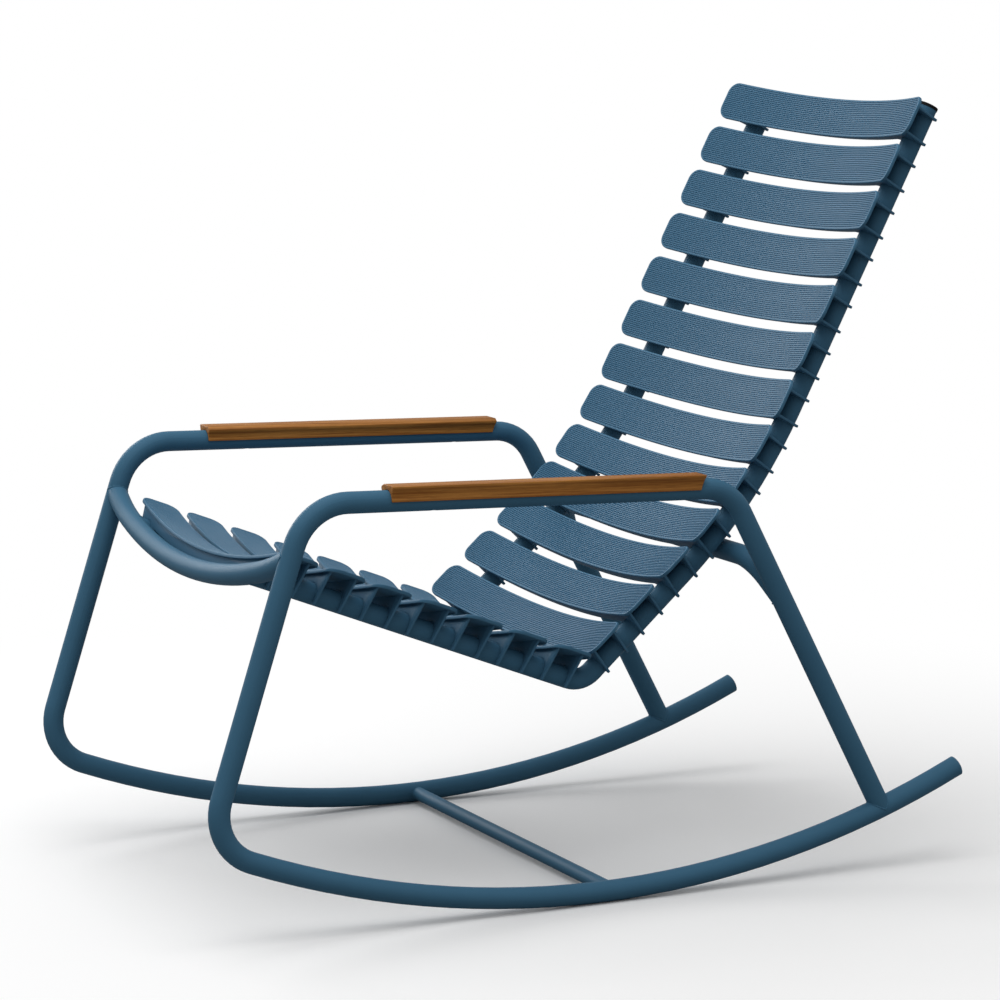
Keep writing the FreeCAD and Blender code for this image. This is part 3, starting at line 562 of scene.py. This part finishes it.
def rib_outline(slat, rail):
    """A rib and its two clips as (x, z), seen along the rails."""
    middle = rail.spacing / 2
    hold = rail.diameter / 2 + slat.clip_gap
    arm = rail.diameter / 2 + slat.clip_arm
    low = -slat.clip_reach
    end = slat.length / 2 - slat.rib_inset
    hold_x = hold * math.cos(slat.clip_wrap)
    wrap = math.degrees(slat.clip_wrap)
    tip = slat.clip_tip
    centre_z = slat.height + slat.hollow
    rib_radius = slat.hollow + slat.rib_depth
    fillet = slat.clip_fillet
    fillet_x = middle - arm - fillet
    fillet_z = centre_z - math.sqrt((rib_radius + fillet) ** 2 - fillet_x ** 2)
    turn = math.degrees(math.atan2(centre_z - fillet_z, -fillet_x))
    turn_x = fillet_x + fillet * math.cos(math.radians(turn))
    half = [(turn_x * n / 8, face_height(slat, turn_x * n / 8, slat.rib_depth)) for n in range(8)]
    half += arc((fillet_x, fillet_z), fillet, turn, 0, 6)
    half += arc((middle - arm + tip, low + tip), tip, 180, 270, 4)
    half += arc((middle - hold_x - tip, low + tip), tip, 270, 360, 4)
    half += arc((middle, 0), hold, 180 + wrap, -wrap, 24)
    half += arc((middle + hold_x + tip, low + tip), tip, 180, 270, 4)
    half += arc((middle + arm - tip, low + tip), tip, 270, 360, 4)
    half += [(end, face_height(slat, end, slat.edge)), (end, face_height(slat, end, slat.skin / 2))]
    half += [(end * n / 16, face_height(slat, end * n / 16, slat.skin / 2)) for n in range(15, 0, -1)]
    top = [(0.0, face_height(slat, 0.0, slat.skin / 2))]
    mirrored = [(-x, z) for x, z in reversed(half[1:])]
    return half + top + mirrored


def slat_mesh(slat, rail):
    """One slat, in its own frame: x across the chair, y up the rails, z off the rails."""
    bm = bmesh.new()
    add_slat_skin(bm, slat)
    outline = rib_outline(slat, rail)
    for middle in (-slat.front_rib, slat.rear_rib):
        add_plate(bm, outline, middle - slat.rib_thickness / 2, slat.rib_thickness, slat.rib_rounding)
    return to_mesh("slat", bm)


def slat_places(rail):
    """Name and placement of every slat, along the seat and then up the back."""
    def along(point, slope, run):
        return point + Vector((math.cos(slope), math.sin(slope))) * run

    places = []
    point = Vector((rail.front_y, rail.front_z))
    for number in range(rail.seat_slats):
        spot = along(point, -rail.seat_slope, rail.seat_pitch * number)
        places.append(("seat_slat_%02d" % (number + 1), spot, -rail.seat_slope))
    corner = along(places[-1][1], -rail.seat_slope, rail.bend_lead)
    first = along(corner, rail.lower_slope, rail.back_lead)
    start = along(first, rail.lower_slope, rail.lower_run)
    centre = along(start, rail.lower_slope + math.pi / 2, rail.lumbar_radius)
    bend = (rail.upper_slope - rail.lower_slope) * rail.lumbar_radius
    finish = along(centre, rail.upper_slope - math.pi / 2, rail.lumbar_radius)
    for number in range(rail.back_slats):
        past = rail.back_pitch * number - rail.lower_run
        if past <= 0:
            spot, slope = along(start, rail.lower_slope, past), rail.lower_slope
        elif past >= bend:
            spot, slope = along(finish, rail.upper_slope, past - bend), rail.upper_slope
        else:
            slope = rail.lower_slope + past / rail.lumbar_radius
            spot = along(centre, slope - math.pi / 2, rail.lumbar_radius)
        places.append(("back_slat_%02d" % (number + 1), spot, slope))
    return [(name, Matrix.Translation((0, spot.x, spot.y)) @ Matrix.Rotation(slope, 4, "X"))
            for name, spot, slope in places]


# Arm pads and screws

def pad_outline(pad, side):
    """The pad's section as (x, z), with its lips, hollow sides and groove for the arm."""
    wide = pad.half_width
    grip = math.degrees(math.asin(pad.foot_rise / pad.groove))
    outer = arc_through((pad.foot, pad.foot_rise), (pad.waist, pad.waist_rise),
                        (wide, pad.rise - pad.lip), 8)
    inner = arc_through((-wide, pad.inner_lip - pad.lip), (-pad.waist, pad.waist_rise),
                        (-pad.foot, pad.foot_rise), 8)
    outline = outer + [(wide, pad.rise), (-pad.flat, pad.rise), (-wide, pad.inner_lip)] + inner
    outline += arc((0, 0), pad.groove, 180 - grip, grip, 28)
    return [(side * x, z) for x, z in outline]


def pad_mesh(pad, side):
    """One arm pad, in its own frame: y along the arm, z off the arm."""
    bm = bmesh.new()
    outline = pad_outline(pad, side)
    half = pad.length / 2
    drop = pad.rise - pad.foot_rise
    front = [(x, -half, z) for x, z in outline]
    rear = [(x, half - pad.slant * min(1.0, (pad.rise - z) / drop), z) for x, z in outline]
    add_skin(bm, [front, rear])
    bmesh.ops.recalc_face_normals(bm, faces=bm.faces)
    sharp = [e for e in bm.edges if e.calc_face_angle(0) > SMOOTH_ANGLE]
    bmesh.ops.bevel(bm, geom=sharp, offset=pad.rounding, segments=3, profile=0.5,
                    affect="EDGES", clamp_overlap=True)
    return to_mesh("arm_pad", bm)


def screw_rings(pad):
    """A screw from the bottom of its hexagon socket, round its head and up its shank."""
    count = 24
    turns = [2 * math.pi * n / count for n in range(count)]

    def circle(radius, z):
        return [(radius * math.cos(t), radius * math.sin(t), z) for t in turns]

    def hexagon(flat, z):
        reach = [flat / math.cos((t + math.pi / 6) % (math.pi / 3) - math.pi / 6) for t in turns]
        return [(r * math.cos(t), r * math.sin(t), z) for r, t in zip(reach, turns)]

    head = pad.screw_head
    crown = pad.screw_crown
    seat = pad.screw_seat
    socket = pad.screw_socket
    dome = [(head * math.sin(t), seat - crown * (0.3 + 0.7 * math.cos(t)))
            for t in [math.radians(d) for d in (38, 50, 62, 74, 84, 90)]]
    rings = [hexagon(socket, seat - crown * 0.25), hexagon(socket, seat - crown * 0.86),
             hexagon(socket * 1.12, seat - crown * 0.9)]
    rings += [circle(r, z) for r, z in dome]
    rings += [circle(head, seat - 0.0002), circle(head - 0.0002, seat),
              circle(pad.screw_shank, seat), circle(pad.screw_shank, pad.groove + pad.screw_grip)]
    return rings


def arm_place(pad, side, run):
    """Frame on an arm's centreline, at a run from its front corner, with y along the arm."""
    along = Vector((0, math.cos(pad.tilt), -math.sin(pad.tilt)))
    spot = Vector((side * pad.spacing / 2, pad.front_y, pad.front_z)) + along * run
    return Matrix.Translation(spot) @ Matrix.Rotation(-pad.tilt, 4, "X")


# Welds: name, point, direction of the tube that ends there, its radius, direction of the other
# tube. Millimetres, for the side towards +X.
WELDS = (
    ("rear_leg", (300, 407.31, 79.60), (0, -0.4656, 0.8850), 13.45, (0, 0.9486, 0.3165)),
    ("front_tube", (300, -416.20, 466.04), (-0.8959, -0.1358, -0.4229), 13.45, (0, 0.3058, 0.9521)),
    ("rear_tube", (300, 256.18, 366.81), (-0.4772, -0.4092, 0.7777), 13.45, (0, -0.4656, 0.8850)),
    ("stretcher", (300, 16.85, 13.56), (-1, 0, 0), 9.0, (0, 0.9999, 0.0131)),
    ("rail_front", (203.7, -426.17, 434.99), (0, 0.9324, -0.3613), 13.45, (0.9759, 0.0668, 0.2080)),
)


def weld_mesh(weld, point, branch, radius, main, main_radius):
    """A rippled bead round the line where one tube's end meets another tube."""
    branch = branch.normalized()
    main = main.normalized()
    first = branch.cross(main).normalized()
    second = branch.cross(first)
    steps = 144
    bead_sides = 10
    bead_turns = [2 * math.pi * n / bead_sides for n in range(bead_sides)]
    line = []
    for n in range(steps):
        turn = 2 * math.pi * n / steps
        spoke = (first * math.cos(turn) + second * math.sin(turn)) * radius
        flat = spoke - main * spoke.dot(main)
        lean = branch - main * branch.dot(main)
        half = flat.dot(lean)
        reach = half * half - lean.length_squared * (flat.length_squared - main_radius ** 2)
        line.append(point + spoke + branch * ((math.sqrt(max(0.0, reach)) - half) / lean.length_squared))
    around = sum((line[n] - line[n - 1]).length for n in range(steps))
    ripples = max(1, round(around / weld.ripple_pitch))
    rings = []
    for n, centre in enumerate(line):
        ahead = (line[(n + 1) % steps] - line[n - 1]).normalized()
        up = branch - ahead * branch.dot(ahead)
        up.normalize()
        across = ahead.cross(up)
        bead = weld.bead + weld.ripple * math.cos(2 * math.pi * ripples * n / steps)
        rings.append([centre + (up * math.cos(t) + across * math.sin(t)) * bead for t in bead_turns])
    bm = bmesh.new()
    add_skin(bm, rings, closed=True)
    return to_mesh("weld", bm)


# Operators

class CHAIR_OT_slats(bpy.types.Operator):
    """Builds the moulded slats of the seat and the back"""

    bl_idname = "chair.slats"
    bl_label = "Slats"

    def execute(self, context):
        chair = context.scene.chair
        material = moulded_polypropylene("slats", chair.finish.slat, chair.finish.slat_cloud)
        mesh = slat_mesh(chair.slat, chair.rail)
        for node, place in slat_places(chair.rail):
            if node not in NODES:
                raise RuntimeError("the frame has no node for " + node)
            make_piece(node + "_moulding", mesh, material, [node], place)
        return {"FINISHED"}


class CHAIR_OT_arm_pads(bpy.types.Operator):
    """Builds the wooden pad of each arm"""

    bl_idname = "chair.arm_pads"
    bl_label = "Arm pads"

    def execute(self, context):
        chair = context.scene.chair
        pad = chair.pad
        material = oiled_hardwood(chair.finish)
        for name, side in SIDES:
            place = arm_place(pad, side, pad.start + pad.length / 2)
            node = name + "_arm_pad"
            make_piece(name + "_arm_wood", pad_mesh(pad, side), material, [node], place)
        return {"FINISHED"}


class CHAIR_OT_screws(bpy.types.Operator):
    """Builds the two screws inside each arm"""

    bl_idname = "chair.screws"
    bl_label = "Screws"

    def execute(self, context):
        chair = context.scene.chair
        pad = chair.pad
        material = turned_stainless_steel(chair.finish)
        for name, side in SIDES:
            bm = bmesh.new()
            middle = arm_place(pad, side, pad.start + pad.length / 2)
            for along in (pad.screw_inset - pad.length / 2, pad.length / 2 - pad.screw_inset):
                add_skin(bm, [[(x, y + along, z) for x, y, z in ring] for ring in screw_rings(pad)])
            node = name + "_arm_pad_screws"
            make_piece(name + "_arm_screw_pair", to_mesh("screws", bm), material, [node],
                       middle)
        return {"FINISHED"}


class CHAIR_OT_tubes(bpy.types.Operator):
    """Gives every steel tube its powder coat"""

    bl_idname = "chair.tubes"
    bl_label = "Tubes"

    def execute(self, context):
        material = powder_coated_steel(context.scene.chair.finish)
        names = ["front_cross_tube", "rear_cross_tube", "rocker_stretcher"]
        names += [side + part for side, _ in SIDES for part in ("_side_frame", "_seat_rail")]
        for name in names:
            coat(NODES[name], material)
        return {"FINISHED"}


class CHAIR_OT_welds(bpy.types.Operator):
    """Lays the weld beads where the tubes meet"""

    bl_idname = "chair.welds"
    bl_label = "Welds"

    def execute(self, context):
        chair = context.scene.chair
        material = powder_coated_steel(chair.finish)
        for name, point, branch, radius, main in WELDS:
            for side_name, side in SIDES:
                flip = Vector((side, 1, 1))
                mesh = weld_mesh(chair.weld, Vector(point) * flip / 1000, Vector(branch) * flip,
                                 radius / 1000, Vector(main) * flip, chair.rail.diameter / 2)
                make_piece("%s_%s_weld" % (side_name, name), mesh, material, [])
        return {"FINISHED"}


class CHAIR_OT_caps(bpy.types.Operator):
    """Finishes the runner caps and the rail plugs"""

    bl_idname = "chair.caps"
    bl_label = "Caps and plugs"

    def execute(self, context):
        finish = context.scene.chair.finish
        cap = moulded_polypropylene("caps", finish.steel, finish.steel_cloud)
        plug = moulded_nylon(finish)
        for name, _ in SIDES:
            coat(NODES[name + "_runner_cap"], cap)
            coat(NODES[name + "_rail_plug"], plug)
        return {"FINISHED"}


class CHAIR_OT_stage(bpy.types.Operator):
    """Sets the floor, the soft light and the camera"""

    bl_idname = "chair.stage"
    bl_label = "Stage"

    def execute(self, context):
        stage = context.scene.chair.stage
        scene = context.scene
        bm = bmesh.new()
        bmesh.ops.create_grid(bm, x_segments=1, y_segments=1, size=FLOOR_REACH)
        mesh = bpy.data.meshes.new("floor")
        bm.to_mesh(mesh)
        bm.free()
        floor = bpy.data.objects.new("floor", mesh)
        scene.collection.objects.link(floor)
        mesh.materials.append(seamless_paper(stage))
        scene.world = white_room(stage)
        for name, watts, size, spot in (("key", stage.key, KEY_SIZE, KEY_PLACE),
                                        ("top", stage.top, TOP_SIZE, TOP_PLACE)):
            lamp = bpy.data.lights.new(name, "AREA")
            lamp.energy = watts
            lamp.size = size
            light = bpy.data.objects.new(name, lamp)
            light.location = spot
            light.rotation_euler = (LAMP_AIM - spot).to_track_quat("-Z", "Y").to_euler()
            scene.collection.objects.link(light)
        lens = bpy.data.cameras.new("camera")
        lens.lens = stage.lens
        lens.sensor_width = 36
        camera = bpy.data.objects.new("camera", lens)
        camera.location = CAMERA_PLACE
        camera.rotation_euler = CAMERA_TURN
        scene.collection.objects.link(camera)
        scene.camera = camera
        scene.view_settings.view_transform = "Standard"
        return {"FINISHED"}


class CHAIR_PT_panel(bpy.types.Panel):
    """Lists the pieces of the chair and their sizes"""

    bl_label = "Rocking Lounge Chair"
    bl_idname = "CHAIR_PT_panel"
    bl_space_type = "VIEW_3D"
    bl_region_type = "UI"
    bl_category = "Chair"

    def draw(self, context):
        chair = context.scene.chair
        for operator in OPERATORS:
            self.layout.operator(operator.bl_idname)
        for group in (chair.slat, chair.rail, chair.pad, chair.weld, chair.finish, chair.stage):
            box = self.layout.box()
            for name in group.bl_rna.properties.keys():
                if name not in ("rna_type", "name"):
                    box.prop(group, name)


class ChairSettings(bpy.types.PropertyGroup):
    """Everything about the chair that a user may change"""

    slat: PointerProperty(type=SlatSettings, name="Slat", description="One moulded slat")
    rail: PointerProperty(type=RailSettings, name="Rails", description="Line of the seat rails")
    pad: PointerProperty(type=PadSettings, name="Arm pads", description="Wooden pads and screws")
    weld: PointerProperty(type=WeldSettings, name="Welds", description="Weld beads")
    finish: PointerProperty(type=FinishSettings, name="Finish", description="Colours")
    stage: PointerProperty(type=StageSettings, name="Stage", description="Floor, light, camera")


OPERATORS = (CHAIR_OT_tubes, CHAIR_OT_welds, CHAIR_OT_slats, CHAIR_OT_arm_pads,
             CHAIR_OT_screws, CHAIR_OT_caps, CHAIR_OT_stage)
CLASSES = (SlatSettings, RailSettings, PadSettings, WeldSettings, FinishSettings, StageSettings,
           ChairSettings, *OPERATORS, CHAIR_PT_panel)


def register():
    """Makes the settings, the operators and the panel known to Blender."""
    for cls in CLASSES:
        bpy.utils.register_class(cls)
    bpy.types.Scene.chair = PointerProperty(type=ChairSettings)


def unregister():
    """Takes the settings, the operators and the panel away again."""
    del bpy.types.Scene.chair
    for cls in reversed(CLASSES):
        bpy.utils.unregister_class(cls)


def main():
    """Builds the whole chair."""
    register()
    bpy.ops.chair.tubes()
    bpy.ops.chair.welds()
    bpy.ops.chair.slats()
    bpy.ops.chair.arm_pads()
    bpy.ops.chair.screws()
    bpy.ops.chair.caps()
    bpy.ops.chair.stage()
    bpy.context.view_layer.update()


if __name__ == "__main__":
    main()
